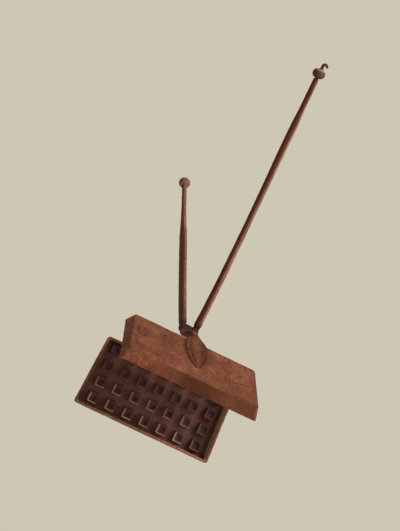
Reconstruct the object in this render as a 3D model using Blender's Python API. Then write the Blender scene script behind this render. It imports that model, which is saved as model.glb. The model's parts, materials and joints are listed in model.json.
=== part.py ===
# Hearth waffle iron: two cast-iron pans on crossed wrought-iron arms, hinged on one rivet.
#
# The whole iron hangs by the small hook at the end of the hooked arm. The world origin is the
# inside of that hook's bend, where a nail bears. +Z runs up the hooked arm, +X runs along the
# hinge towards the side that the hook bends to, and -Y faces the way the rear pan opens.
#
# Each half is modelled in its own half frame: origin on the parting plane at the hinge's
# height and the middle of the pan's length, X along the hinge, Z up the handle, and +Y towards
# the back of its own pan. The front half is the rear half's frame turned half round about Z.

import math

import bmesh
import bpy
from mathutils import Vector

# Running and seating gap between neighbouring pieces, and how far a cutter overruns
clearance = 0.0003
overrun = 0.002

# Pans, which are shorter on the hinge's side by the taper
plate_length = 0.2350
plate_taper = 0.0128
plate_width = 0.1150
plate_depth = 0.0205
plate_corner = 0.0045
end_slope = 0.0065
side_slope = 0.0080
back_chamfer = 0.0010
rim_width = 0.0045
rim_gap = 0.0003
pan_floor = 0.0074
pan_corner = 0.0035
pan_lean = 0.0016

# Raised squares in the pans
stud_columns = 7
stud_rows = 4
column_groove = 0.0118
row_groove = 0.0089
end_margin = 0.00635
far_margin = 0.00325
near_margin = 0.00115
stud_height = 0.0085
stud_lean = 0.0014
stud_land = 0.0027
dish_depth = 0.0030
dish_floor = 0.0035

# Hinge
hinge_to_plate = 0.0605
hinge_setback = 0.0040
open_angle = math.radians(59.24)
hub_radius = 0.0070
hub_chamfer = 0.0012
hub_proud = 0.0004
hub_split = 0.00365
rivet_radius = 0.0026
rivet_head_radius = 0.0048
rivet_head_height = 0.0010

# Arms
bar_offset = 0.0105
bar_width = 0.0114
cheek_width = 0.0076
bar_lean = 0.0020
knob_height = 0.4426
plain_knob_rise = 0.0020
handle_splay = 0.0080
neck_width = 0.0105
neck_offset = 0.0028
neck_depth = 0.0100
neck_depth_low = 0.0062

# Leaf at the foot of each arm, which lies on the back of the pan
leaf_start = 0.0565
leaf_length = 0.0805
leaf_width = 0.0404
leaf_edge = 0.0030
leaf_crown = 0.0028
leaf_drift = 0.0040
leaf_tip = 0.0020

# Rivets that hold the leaf to the pan, flared flush at both ends
leaf_rivet_radius = 0.0022
leaf_rivet_flare = 0.0011
leaf_rivet_spread = 0.0065

# Thickness of the hooked arm's bar at its waist, swell and round end
waist_width = 0.0094
swell_width = 0.0107
hooked_end_width = 0.0090

# Thickness of the plain arm's bar where it starts to taper and at its round end
taper_width = 0.0116
plain_end_width = 0.0080

# Knobs and what holds them
hooked_knob_diameter = 0.0207
hooked_knob_length = 0.0179
plain_knob_diameter = 0.0188
plain_knob_length = 0.0168
hooked_tenon_radius = 0.0026
plain_tenon_radius = 0.0018
nub_radius = 0.0024
nub_height = 0.0013

# Hook
hook_radius = 0.0045
hook_rise = 0.0037
hook_drop = 0.0006
hook_wire_radius = 0.0022
hook_bend_radius = 0.0019
hook_tip_radius = 0.0014

# Edges sharper than this aren't smoothed over
sharp_angle = math.radians(32)

# Turned and swept pieces: points round a piece
bar_corners = 8
turn_steps = 24
hub_steps = 32
rivet_steps = 16
wire_steps = 12
corner_steps = 4

# Stations up the bars, as shares of the way from the hinge to the knob's centre, with how round
# the bar is and how far it leans out sideways there. Thickness is given as shares of the way
# between two of the named widths.
hooked_bar_shares = (0.10, 0.23, 0.40, 0.52, 0.66, 0.75, 0.80, 0.835, 0.87, 0.93)
hooked_waist_shares = (0.45, 0.67, 1, 1, 0.25, 0, 0, 0, 0, 0)
hooked_end_shares = (0, 0, 0, 0, 0, 0, 0, 0.5, 1, 1)
hooked_round_shares = (0, 0, 0, 0, 0, 0, 0.1, 0.5, 0.9, 1)
hooked_lean_shares = (0.5, 1, 0.9, 0.6, 0.2, 0, 0, 0, 0, 0)

plain_bar_shares = (0.10, 0.28, 0.52, 0.62, 0.68, 0.74, 0.82, 0.90)
plain_end_shares = (0, 0, 0, 0.1, 0.42, 0.7, 0.92, 1)
plain_round_shares = (0, 0, 0, 0.1, 0.5, 0.9, 1, 1)
plain_lean_shares = (0.3, 0.8, 1, 1, 1, 1, 1, 1)
# How far up from the hinge, in hub radii, a bar is as thick as it gets
cheek_top_share = 1.8

# The bar's chamfers, and how far each of its edges is rounded, as shares of half its width
chamfer_share = 0.45
edge_share = 0.14

# Outline of the leaf: distance from its neck and width there, as shares
leaf_along_shares = (
    1, 0.985, 0.955, 0.90, 0.82, 0.73, 0.62, 0.50, 0.36, 0.24, 0.16, 0.10, 0.05
)
leaf_width_shares = (
    0.09, 0.18, 0.30, 0.45, 0.61, 0.75, 0.875, 0.965, 1, 0.96, 0.85, 0.68, 0.42
)
# Across the leaf: half of the outer face, edge to spine, and how high the face stands there
leaf_across_shares = (1, 0.64, 0.46, 0.12)
leaf_rise_shares = (0, 0.15, 0.78, 1)
# Across the flat inner face, from the edge inwards
leaf_inner_shares = (0.97, 0.70, 0.42, 0.14)

# Steps along the neck, as shares of the way from the hub to the leaf
neck_shares = (1, 0.95, 0.90, 0.85, 0.80, 0.75, 0.70, 0.60, 0.48, 0.36, 0.24, 0)
# Where on that way the neck starts to move sideways and backwards, and where it stops
neck_side_start_share = 0.70
neck_side_end_share = 1.0
neck_back_start_share = 0.22
# How deep inside the hub the neck and the bar end
hub_inside_share = 0.4

# Dome of a rivet's head: how far out and how far up, as shares of its radius and height
dome_radius_shares = (0.55, 0.88, 1, 1)
dome_height_shares = (1, 0.7, 0.2, 0)

# Sizes that follow from those above
plate_length_near = plate_length - plate_taper
plate_back = rim_gap / 2 + plate_depth
pan_depth = plate_depth - pan_floor
floor_inset = rim_width + pan_lean
stud_length = (
    plate_length_near - 2 * floor_inset - 2 * end_margin - (stud_columns - 1) * column_groove
) / stud_columns
stud_width = (
    plate_width - 2 * floor_inset - far_margin - near_margin - (stud_rows - 1) * row_groove
) / stud_rows
column_pitch = stud_length + column_groove
row_pitch = stud_width + row_groove
first_row_z = -(hinge_to_plate + floor_inset + near_margin + stud_width / 2)
hub_outer = bar_offset + cheek_width / 2 + hub_proud
leaf_inner_y = plate_back + clearance
panel_x = leaf_width / 2 + leaf_drift + rim_width
leaf_hole_radius = leaf_rivet_radius + clearance
leaf_rivet_places = (
    (-leaf_rivet_spread, first_row_z - row_pitch / 2),
    (leaf_rivet_spread, first_row_z - row_pitch / 2),
    (-leaf_drift, first_row_z - 3 * row_pitch / 2),
)
hooked_knob_centre = Vector((bar_offset, -handle_splay, knob_height))
plain_knob_centre = Vector(
    (bar_offset + bar_lean, -handle_splay, knob_height + plain_knob_rise)
)
hook_bend_z = hooked_knob_centre.z + hooked_knob_length / 2 + hook_rise
hook_seat = Vector(
    (
        hooked_knob_centre.x + hook_radius,
        hooked_knob_centre.y,
        hook_bend_z + hook_radius - hook_bend_radius,
    )
)


def clear_scene():
    for old in list(bpy.data.objects):
        bpy.data.objects.remove(old, do_unlink=True)


def make_material(name, color, roughness, metallic):
    material = bpy.data.materials.new(name)
    material.use_nodes = True
    shader = material.node_tree.nodes["Principled BSDF"]
    shader.inputs["Base Color"].default_value = (*color, 1)
    shader.inputs["Roughness"].default_value = roughness
    shader.inputs["Metallic"].default_value = metallic
    return material


def make_empty(name, location, turn_x):
    empty = bpy.data.objects.new(name, None)
    empty.location = location
    empty.rotation_euler = (turn_x, 0, 0)
    bpy.context.collection.objects.link(empty)
    return empty


def place(name, mesh, half, material=None):
    """An object in a half's own frame, hung on that half's empty."""
    piece = bpy.data.objects.new(name, mesh)
    piece.parent = half["empty"]
    piece.location = half["offset"]
    piece.rotation_euler = (0, 0, half["turn_z"])
    bpy.context.collection.objects.link(piece)
    if material and not mesh.materials:
        mesh.materials.append(material)
    return piece


def place_cutter(name, mesh, half):
    cutter = place(name, mesh, half)
    cutter.hide_render = True
    cutter.display_type = "WIRE"
    return cutter


def finish_mesh(bm, name):
    bmesh.ops.recalc_face_normals(bm, faces=bm.faces)
    mesh = bpy.data.meshes.new(name)
    bm.to_mesh(mesh)
    bm.free()
    mesh.shade_smooth()
    mesh.set_sharp_from_angle(angle=sharp_angle)
    return mesh


def add_boolean(piece, cutter, operation):
    modifier = piece.modifiers.new(cutter.name, "BOOLEAN")
    modifier.object = cutter
    modifier.operation = operation
    modifier.solver = "EXACT"


def blend(low, high, share):
    return low + (high - low) * share


def smooth_step(share):
    share = min(max(share, 0), 1)
    return share * share * (3 - 2 * share)


def ring_edges(bm, points):
    """A closed loop of edges through the points."""
    corners = [bm.verts.new(point) for point in points]
    edges = [
        bm.edges.new((corners[i - 1], corners[i]))
        for i in range(len(corners))
    ]
    return corners, edges


def join_rings(bm, low, high):
    """Quads between two loops that have as many corners each."""
    for i in range(len(low)):
        bm.faces.new((low[i - 1], low[i], high[i], high[i - 1]))


def loft_mesh(name, rings):
    """A closed skin through a run of rings, with a flat cap on each end."""
    bm = bmesh.new()
    loops = [[bm.verts.new(point) for point in ring] for ring in rings]
    for low, high in zip(loops, loops[1:]):
        join_rings(bm, low, high)
    bm.faces.new(loops[0])
    bm.faces.new(loops[-1])
    return finish_mesh(bm, name)


def turned_mesh(name, profile, steps, axis, centre):
    """A closed profile of (radius, along) points turned once about an axis through centre."""
    bm = bmesh.new()
    along = Vector(axis)
    across = Vector((0, 0, 1)) if axis[0] else Vector((1, 0, 0))
    corners, edges = ring_edges(
        bm, [centre + across * radius + along * height for radius, height in profile]
    )
    bmesh.ops.spin(
        bm,
        geom=corners + edges,
        cent=centre,
        axis=along,
        angle=math.tau,
        steps=steps,
        use_merge=True,
    )
    return finish_mesh(bm, name)


def round_rings(outline, steps, axis, centre):
    """A ring for each (radius, along) point of the outline, round an axis through centre."""
    along = Vector(axis)
    across = Vector((0, 0, 1)) if axis[0] else Vector((1, 0, 0))
    side = along.cross(across)
    rings = []
    for radius, height in outline:
        ring = []
        for i in range(steps):
            angle = math.tau * i / steps
            spoke = across * math.cos(angle) + side * math.sin(angle)
            ring.append(centre + spoke * radius + along * height)
        rings.append(ring)
    return rings


def fillet(corners, radius):
    """The outline through four or more corners, in (x, z), with each one rounded."""
    points = []
    for i, corner in enumerate(corners):
        before = (corners[i - 1] - corner).normalized()
        after = (corners[(i + 1) % len(corners)] - corner).normalized()
        half_angle = before.angle(after) / 2
        reach = radius / math.tan(half_angle)
        centre = corner + (before + after).normalized() * radius / math.sin(half_angle)
        start = corner + before * reach - centre
        sweep = math.pi - 2 * half_angle
        if before.cross(after) > 0:
            sweep = -sweep
        for step in range(corner_steps + 1):
            angle = sweep * step / corner_steps
            turned = Vector(
                (
                    start.x * math.cos(angle) - start.y * math.sin(angle),
                    start.x * math.sin(angle) + start.y * math.cos(angle),
                )
            )
            points.append(centre + turned)
    return points


def plate_outline(end_inset, side_inset, radius, y):
    """The pan's outline, drawn in by the insets, with a point at each side of the panels."""
    near_half = plate_length_near / 2 - end_inset
    far_half = plate_length / 2 - end_inset
    near_z = -(hinge_to_plate + side_inset)
    far_z = -(hinge_to_plate + plate_width - side_inset)
    corners = [
        Vector((-near_half, near_z)),
        Vector((near_half, near_z)),
        Vector((far_half, far_z)),
        Vector((-far_half, far_z)),
    ]
    arcs = fillet(corners, radius)
    size = corner_steps + 1
    outline = (
        arcs[:size]
        + [Vector((-panel_x, near_z)), Vector((panel_x, near_z))]
        + arcs[size : 3 * size]
        + [Vector((panel_x, far_z)), Vector((-panel_x, far_z))]
        + arcs[3 * size :]
    )
    return [Vector((point.x, y, point.y)) for point in outline]


def circle_points(x, z, radius, steps, y):
    points = []
    for i in range(steps):
        angle = math.tau * i / steps
        points.append(Vector((x + radius * math.cos(angle), y, z + radius * math.sin(angle))))
    return points


def rectangle_points(x, z, length, width, y):
    return [
        Vector((x - length / 2, y, z - width / 2)),
        Vector((x + length / 2, y, z - width / 2)),
        Vector((x + length / 2, y, z + width / 2)),
        Vector((x - length / 2, y, z + width / 2)),
    ]


def add_stud(bm, x, z, floor_y):
    """One raised square with a dished top. Its foot is the loop that the floor joins."""
    top_y = floor_y - stud_height
    top_length = stud_length - 2 * stud_lean
    top_width = stud_width - 2 * stud_lean
    foot, foot_edges = ring_edges(bm, rectangle_points(x, z, stud_length, stud_width, floor_y))
    loops = [foot]
    for length, width, y in (
        (top_length, top_width, top_y),
        (top_length - 2 * stud_land, top_width - 2 * stud_land, top_y),
        (dish_floor, dish_floor, top_y + dish_depth),
    ):
        loops.append([bm.verts.new(point) for point in rectangle_points(x, z, length, width, y)])
    for low, high in zip(loops, loops[1:]):
        join_rings(bm, low, high)
    bm.faces.new(loops[-1])
    return foot_edges


def plate_mesh():
    """One pan: sloping sides, a flat back, a narrow rim and the raised squares inside."""
    bm = bmesh.new()
    rim_y = rim_gap / 2
    floor_y = rim_y + pan_depth
    back_inset = (end_slope + back_chamfer, side_slope + back_chamfer)
    chamfer_y = plate_back - back_chamfer

    floor_loop, floor_edges = ring_edges(
        bm, plate_outline(floor_inset, floor_inset, pan_corner, floor_y)
    )
    back_loop, back_edges = ring_edges(bm, plate_outline(*back_inset, plate_corner, plate_back))
    skin = [
        floor_loop,
        [bm.verts.new(p) for p in plate_outline(rim_width, rim_width, pan_corner, rim_y)],
        [bm.verts.new(p) for p in plate_outline(0, 0, plate_corner, rim_y)],
        [bm.verts.new(p) for p in plate_outline(end_slope, side_slope, plate_corner, chamfer_y)],
        back_loop,
    ]
    for low, high in zip(skin, skin[1:]):
        join_rings(bm, low, high)

    for column in range(stud_columns):
        for row in range(stud_rows):
            x = (column - (stud_columns - 1) / 2) * column_pitch
            floor_edges += add_stud(bm, x, first_row_z - row * row_pitch, floor_y)

    # The back's two end panels are plain faces, and the middle one has the rivets' holes
    size = corner_steps + 1
    near_left, near_right = size, size + 1
    far_right, far_left = 3 * size + 2, 3 * size + 3
    bm.faces.new(back_loop[near_right : far_right + 1])
    bm.faces.new(back_loop[far_left:] + back_loop[: near_left + 1])
    middle_edges = [
        back_edges[near_right],
        back_edges[far_left],
        bm.edges.get((back_loop[near_right], back_loop[far_right])),
        bm.edges.get((back_loop[far_left], back_loop[near_left])),
    ]
    for x, z in leaf_rivet_places:
        inner, inner_edges = ring_edges(
            bm, circle_points(x, z, leaf_hole_radius + leaf_rivet_flare, rivet_steps, floor_y)
        )
        throat_y = floor_y + leaf_rivet_flare
        throat = [
            bm.verts.new(p) for p in circle_points(x, z, leaf_hole_radius, rivet_steps, throat_y)
        ]
        outer, outer_edges = ring_edges(
            bm, circle_points(x, z, leaf_hole_radius, rivet_steps, plate_back)
        )
        join_rings(bm, inner, throat)
        join_rings(bm, throat, outer)
        floor_edges += inner_edges
        middle_edges += outer_edges
    for edges in (floor_edges, middle_edges):
        bmesh.ops.triangle_fill(bm, edges=edges, use_beauty=True, normal=(0, 1, 0))
    return finish_mesh(bm, "pan")


def square_section():
    """Corners of a chamfered square of half width 1, each edge slightly rounded."""
    flat = 1 - chamfer_share
    quarter = [(-1, flat), (-flat, 1), (flat, 1), (1, flat)]
    corners = quarter + [(-x, -y) for x, y in quarter]
    points = []
    for i, corner in enumerate(corners):
        for other in (corners[i - 1], corners[(i + 1) % bar_corners]):
            points.append(
                (
                    blend(corner[0], other[0], edge_share),
                    blend(corner[1], other[1], edge_share),
                )
            )
    return points


def round_section():
    """As many points on a circle of radius 1, in the same order."""
    points = []
    for i in range(2 * bar_corners):
        angle = math.pi - math.pi * (i + 0.5) / bar_corners
        points.append((math.cos(angle), math.sin(angle)))
    return points


def bar_ring(x, y, z, width, depth, roundness):
    ring = []
    for square, circle in zip(square_section(), round_section()):
        across = blend(square[0], circle[0], roundness) * width / 2
        through = blend(square[1], circle[1], roundness) * depth / 2
        ring.append(Vector((x + across, y + through, z)))
    return ring


def leaf_ring(x, z, width, height):
    """A ring round the leaf: flat against the pan, with a raised spine on its outer face."""
    half = width / 2
    outer_left = []
    for across, rise in zip(leaf_across_shares, leaf_rise_shares):
        y = leaf_inner_y + leaf_edge + (height - leaf_edge) * rise
        outer_left.append((-half * across, y))
    inner_right = [(half * across, leaf_inner_y) for across in leaf_inner_shares]
    points = (
        outer_left
        + [(-across, y) for across, y in reversed(outer_left)]
        + inner_right
        + [(-across, y) for across, y in reversed(inner_right)]
    )
    return [Vector((x + across, y, z)) for across, y in points]


def leaf_rings():
    rings = []
    for along, width in zip(leaf_along_shares, leaf_width_shares):
        height = leaf_edge + leaf_crown * (1 - along * along)
        if along == 1:
            height = leaf_tip
        rings.append(
            leaf_ring(
                -leaf_drift * along,
                -(leaf_start + leaf_length * along),
                leaf_width * width,
                height,
            )
        )
    return rings


def neck_rings(hinge_y, hub_inner):
    """The neck: straight down from the hub at first, then across towards the leaf's middle."""
    hub_middle = (hub_inner + hub_outer) / 2
    hub_width = hub_outer - hub_inner - 2 * hub_proud
    top_z = -hub_radius * hub_inside_share
    foot_y = leaf_inner_y + neck_depth_low / 2
    rings = []
    for share in neck_shares:
        aside = (share - neck_side_start_share) / (neck_side_end_share - neck_side_start_share)
        back = (share - neck_back_start_share) / (1 - neck_back_start_share)
        rings.append(
            bar_ring(
                blend(hub_middle, neck_offset, smooth_step(aside)),
                blend(hinge_y, foot_y, smooth_step(back)),
                blend(top_z, -leaf_start, share),
                blend(hub_width, neck_width, smooth_step(aside)),
                blend(neck_depth, neck_depth_low, share),
                0,
            )
        )
    return rings


def handle_rings(hinge_y, stations, end_width, shoulder_z):
    """The bar, from inside the hub up to the shoulder under the knob."""
    places = [
        (hub_radius * hub_inside_share, cheek_width, 0, 0),
        (hub_radius * cheek_top_share, bar_width, 0, 0),
        *stations,
        (shoulder_z, end_width, 1, stations[-1][-1]),
    ]
    rings = []
    for z, width, roundness, lean in places:
        x = bar_offset + bar_lean * lean
        y = blend(hinge_y, -handle_splay, smooth_step(z / shoulder_z))
        rings.append(bar_ring(x, y, z, width, width, roundness))
    return rings


def round_ring(knob_centre, z, radius):
    return bar_ring(knob_centre.x, knob_centre.y, z, 2 * radius, 2 * radius, 1)


def build_arm(name, half, hub_inner, handle, tip_rings, material):
    """Leaf, neck, hub, bar and tenon in one forging, bored for the hinge and the leaf rivets."""
    hinge_y = half["hinge_y"]
    rings = leaf_rings() + neck_rings(hinge_y, hub_inner) + handle + tip_rings
    arm = place(name, loft_mesh(name, rings), half, material)

    for i, (x, z) in enumerate(leaf_rivet_places):
        hole_outline = (
            (leaf_hole_radius, leaf_inner_y - overrun),
            (leaf_hole_radius, leaf_inner_y),
            (leaf_hole_radius + leaf_rivet_flare, leaf_inner_y + leaf_edge + leaf_crown),
        )
        hole_rings = round_rings(hole_outline, rivet_steps, (0, 1, 0), Vector((x, 0, z)))
        hole = place_cutter(name + "_hole_" + str(i + 1), loft_mesh("hole", hole_rings), half)
        add_boolean(arm, hole, "DIFFERENCE")

    hinge = Vector((0, hinge_y, 0))
    hub_outline = (
        (hub_radius - hub_chamfer, hub_inner),
        (hub_radius, hub_inner + hub_chamfer),
        (hub_radius, hub_outer - hub_chamfer),
        (hub_radius - hub_chamfer, hub_outer),
    )
    hub_rings = round_rings(hub_outline, hub_steps, (1, 0, 0), hinge)
    hub = place_cutter(name + "_hub", loft_mesh("hub", hub_rings), half)
    add_boolean(arm, hub, "UNION")

    bore_outline = (
        (rivet_radius + clearance, hub_inner - overrun),
        (rivet_radius + clearance, hub_outer + overrun),
    )
    bore_rings = round_rings(bore_outline, hub_steps, (1, 0, 0), hinge)
    bore = place_cutter(name + "_bore", loft_mesh("bore", bore_rings), half)
    add_boolean(arm, bore, "DIFFERENCE")
    return arm


def knob_profile(diameter, length, shoulder_radius, low_bore, high_bore):
    """Half section of a flattened ball with a stepped bore and a flat seat below."""
    radius = diameter / 2
    seat = math.acos(shoulder_radius / radius)
    crown = math.acos(high_bore / radius)
    arcs = turn_steps // 2
    points = [(low_bore, -math.sin(seat) * length / 2)]
    for i in range(arcs + 1):
        angle = blend(-seat, crown, i / arcs)
        points.append((radius * math.cos(angle), math.sin(angle) * length / 2))
    points.append((high_bore, 0))
    points.append((low_bore, 0))
    return points


def knob_seat(diameter, length, shoulder_radius):
    """How far the knob's flat seat lies below its centre."""
    return math.sin(math.acos(2 * shoulder_radius / diameter)) * length / 2


def knob_crown(diameter, length, bore):
    """How far the mouth of the knob's upper bore lies above its centre."""
    return math.sin(math.acos(2 * bore / diameter)) * length / 2


def build_hooked_arm(half, material):
    seat = knob_seat(hooked_knob_diameter, hooked_knob_length, hooked_end_width / 2)
    shoulder_z = hooked_knob_centre.z - seat - clearance
    stations = []
    for share, waist, end, roundness, lean in zip(
        hooked_bar_shares,
        hooked_waist_shares,
        hooked_end_shares,
        hooked_round_shares,
        hooked_lean_shares,
    ):
        start_width = bar_width if share < hooked_bar_shares[2] else swell_width
        width = blend(blend(start_width, waist_width, waist), hooked_end_width, end)
        stations.append((hooked_knob_centre.z * share, width, roundness, lean))
    tip_rings = [
        round_ring(hooked_knob_centre, shoulder_z, hooked_tenon_radius),
        round_ring(hooked_knob_centre, hooked_knob_centre.z - clearance, hooked_tenon_radius),
    ]
    handle = handle_rings(half["hinge_y"], stations, hooked_end_width, shoulder_z)
    hub_inner = hub_split + clearance / 2
    return build_arm("hooked_arm", half, hub_inner, handle, tip_rings, material)


def build_plain_arm(half, material):
    seat = knob_seat(plain_knob_diameter, plain_knob_length, plain_end_width / 2)
    shoulder_z = plain_knob_centre.z - seat - clearance
    stations = []
    for share, end, roundness, lean in zip(
        plain_bar_shares, plain_end_shares, plain_round_shares, plain_lean_shares
    ):
        width = blend(taper_width, plain_end_width, end)
        stations.append((plain_knob_centre.z * share, width, roundness, lean))
    crown = knob_crown(plain_knob_diameter, plain_knob_length, plain_tenon_radius + clearance)
    nub_z = plain_knob_centre.z + crown + clearance
    tip_rings = [
        round_ring(plain_knob_centre, shoulder_z, plain_tenon_radius),
        round_ring(plain_knob_centre, nub_z, plain_tenon_radius),
        round_ring(plain_knob_centre, nub_z, nub_radius),
        round_ring(plain_knob_centre, nub_z + nub_height / 2, nub_radius),
        round_ring(plain_knob_centre, nub_z + nub_height, plain_tenon_radius),
    ]
    handle = handle_rings(half["hinge_y"], stations, plain_end_width, shoulder_z)
    hub_inner = -(hub_split - clearance / 2)
    return build_arm("plain_arm", half, hub_inner, handle, tip_rings, material)


def build_knob(name, half, centre, diameter, length, shoulder, low_radius, high_radius, material):
    profile = knob_profile(
        diameter, length, shoulder / 2, low_radius + clearance, high_radius + clearance
    )
    return place(name, turned_mesh(name, profile, turn_steps, (0, 0, 1), centre), half, material)


def build_pivot_rivet(half, material):
    """The hinge: a plain rivet through both hubs, with a low head hammered on each end."""
    reach = hub_outer + clearance
    dome = [
        (rivet_head_radius * out, reach + rivet_head_height * up)
        for out, up in zip(dome_radius_shares, dome_height_shares)
    ]
    dome.append((rivet_radius, reach))
    outline = dome + [(radius, -along) for radius, along in reversed(dome)]
    hinge = Vector((0, half["hinge_y"], 0))
    rings = round_rings(outline, hub_steps, (1, 0, 0), hinge)
    return place("pivot_rivet", loft_mesh("pivot_rivet", rings), half, material)


def leaf_height(x, z):
    """How far the leaf's outer face stands off the pan's back at a place on it."""
    along = -(z + leaf_start) / leaf_length
    across = abs(x + leaf_drift * along) / (leaf_width / 2)
    rise = 1
    for i in range(len(leaf_across_shares) - 1):
        edge, spine = leaf_across_shares[i], leaf_across_shares[i + 1]
        if spine <= across <= edge:
            part = (across - edge) / (spine - edge)
            rise = blend(leaf_rise_shares[i], leaf_rise_shares[i + 1], part)
    return leaf_edge + leaf_crown * (1 - along * along) * rise


def leaf_rivet_mesh(x, z):
    """A rivet from the pan's floor to the outside of the leaf, flared and flush at both ends."""
    floor_y = rim_gap / 2 + pan_depth
    height = leaf_height(x, z)
    flare = leaf_rivet_flare * height / (leaf_edge + leaf_crown)
    outline = (
        (leaf_rivet_radius + leaf_rivet_flare, floor_y),
        (leaf_rivet_radius, floor_y + leaf_rivet_flare),
        (leaf_rivet_radius, leaf_inner_y),
        (leaf_rivet_radius + flare, leaf_inner_y + height),
    )
    rings = [circle_points(x, z, radius, rivet_steps, y) for radius, y in outline]
    return loft_mesh("leaf_rivet", rings)


def build_leaf_rivets(prefix, half, material):
    for i, (x, z) in enumerate(leaf_rivet_places):
        place(prefix + "_leaf_rivet_" + str(i + 1), leaf_rivet_mesh(x, z), half, material)


def build_hook(half, material):
    """The hook: a tapering wire, driven down into the knob and bent over at the top."""
    path = [
        (hooked_knob_centre.x, hooked_knob_centre.z + clearance, hook_wire_radius),
        (hooked_knob_centre.x, hook_bend_z - hook_rise, hook_wire_radius),
    ]
    for i in range(wire_steps + 1):
        share = i / wire_steps
        turned = math.pi * share
        rising = blend(hook_wire_radius, hook_bend_radius, min(2 * share, 1))
        x = hook_seat.x - hook_radius * math.cos(turned)
        z = hook_bend_z + hook_radius * math.sin(turned)
        path.append((x, z, blend(rising, hook_tip_radius, max(2 * share - 1, 0))))
    path.append((hook_seat.x + hook_radius, hook_bend_z - hook_drop, hook_tip_radius))
    rings = []
    for i, (x, z, radius) in enumerate(path):
        before = Vector(path[max(i - 1, 0)][:2])
        after = Vector(path[min(i + 1, len(path) - 1)][:2])
        heading = (after - before).normalized()
        ring = []
        for step in range(wire_steps):
            angle = math.tau * step / wire_steps
            side = radius * math.cos(angle)
            ring.append(
                Vector(
                    (
                        x + heading.y * side,
                        hook_seat.y + radius * math.sin(angle),
                        z - heading.x * side,
                    )
                )
            )
        rings.append(ring)
    return place("hanging_hook", loft_mesh("hanging_hook", rings), half, material)


def main():
    clear_scene()
    cast_iron = make_material("cast_iron", (0.23, 0.10, 0.065), 0.75, 0.35)
    wrought_iron = make_material("wrought_iron", (0.17, 0.075, 0.055), 0.62, 0.45)
    knob_iron = make_material("knob_iron", (0.15, 0.07, 0.055), 0.55, 0.45)
    rivet_iron = make_material("rivet_iron", (0.14, 0.08, 0.065), 0.60, 0.50)
    hook_iron = make_material("hook_iron", (0.05, 0.035, 0.025), 0.60, 0.50)

    rear = {
        "empty": make_empty("rear_half", -hook_seat, 0),
        "offset": Vector((0, 0, 0)),
        "turn_z": 0,
        "hinge_y": hinge_setback,
    }
    front = {
        "empty": make_empty(
            "front_half", Vector((0, hinge_setback, 0)) - hook_seat, -open_angle
        ),
        "offset": Vector((0, -hinge_setback, 0)),
        "turn_z": math.pi,
        "hinge_y": -hinge_setback,
    }

    pan = plate_mesh()
    place("rear_plate", pan, rear, cast_iron)
    place("front_plate", pan, front, cast_iron)
    build_hooked_arm(rear, wrought_iron)
    build_plain_arm(front, wrought_iron)
    build_pivot_rivet(rear, rivet_iron)
    build_leaf_rivets("rear", rear, rivet_iron)
    build_leaf_rivets("front", front, rivet_iron)
    build_knob(
        "hooked_knob",
        rear,
        hooked_knob_centre,
        hooked_knob_diameter,
        hooked_knob_length,
        hooked_end_width,
        hooked_tenon_radius,
        hook_wire_radius,
        knob_iron,
    )
    build_knob(
        "plain_knob",
        front,
        plain_knob_centre,
        plain_knob_diameter,
        plain_knob_length,
        plain_end_width,
        plain_tenon_radius,
        plain_tenon_radius,
        knob_iron,
    )
    build_hook(rear, hook_iron)


main()
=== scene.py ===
import json
import math
import random

import bmesh
import bpy
from mathutils import Matrix, Vector, kdtree, noise
from mathutils.bvhtree import BVHTree


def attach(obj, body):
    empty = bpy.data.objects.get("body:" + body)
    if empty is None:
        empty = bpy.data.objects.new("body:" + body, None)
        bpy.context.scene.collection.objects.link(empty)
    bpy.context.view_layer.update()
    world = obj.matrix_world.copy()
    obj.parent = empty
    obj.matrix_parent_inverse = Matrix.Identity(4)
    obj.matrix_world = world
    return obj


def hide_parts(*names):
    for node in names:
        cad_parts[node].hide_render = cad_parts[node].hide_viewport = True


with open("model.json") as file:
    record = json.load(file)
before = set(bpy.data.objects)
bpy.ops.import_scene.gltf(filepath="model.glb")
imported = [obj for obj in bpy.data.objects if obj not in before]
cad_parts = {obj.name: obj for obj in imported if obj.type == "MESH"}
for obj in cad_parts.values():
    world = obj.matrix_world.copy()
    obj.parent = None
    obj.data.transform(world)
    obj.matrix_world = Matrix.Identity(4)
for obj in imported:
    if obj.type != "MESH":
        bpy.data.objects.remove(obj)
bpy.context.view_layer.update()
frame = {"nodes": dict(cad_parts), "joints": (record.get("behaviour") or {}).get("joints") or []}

joint = frame["joints"][0]
hinge = Vector(joint["pos_m"])
closedTurn = math.radians(joint["range_deg"][0])

# Each half has its own frame: origin on the parting plane at the hinge's height, X along the hinge,
# Z up the handle, +Y to the back of its own pan. The front half is turned round and swung open.
hingeSetback = 0.004
hingeDepth = {"rear": hingeSetback, "front": -hingeSetback}
toHinge = Matrix.Translation((0, -hingeSetback, 0))
swing = Matrix.Rotation(closedTurn, 4, "X")
halves = {
    "rear": Matrix.Translation(hinge) @ toHinge,
    "front": Matrix.Translation(hinge) @ swing @ toHinge @ Matrix.Rotation(math.pi, 4, "Z"),
}
bodies = {"rear": "hooked_half", "front": "plain_half"}
leafRivets = {half: [f"{half}_leaf_rivet_{i}" for i in (1, 2, 3)] for half in halves}
print("frame loaded, hinge at", tuple(round(value, 4) for value in hinge))


def meshObject(bm, name):
    mesh = bpy.data.meshes.new(name)
    bm.to_mesh(mesh)
    bm.free()
    piece = bpy.data.objects.new(name, mesh)
    bpy.context.scene.collection.objects.link(piece)
    return piece


def nodeMesh(node, half):
    # a merged copy of a node's mesh, in its half's own frame
    bm = bmesh.new()
    bm.from_mesh(frame["nodes"][node].data)
    bmesh.ops.remove_doubles(bm, verts=bm.verts, dist=0.00001)
    bm.transform(halves[half].inverted())
    return bm


def nodeBox(node, half):
    bm = nodeMesh(node, half)
    spans = [[vert.co[axis] for vert in bm.verts] for axis in range(3)]
    bm.free()
    return Vector(map(min, spans)), Vector(map(max, spans))


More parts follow.
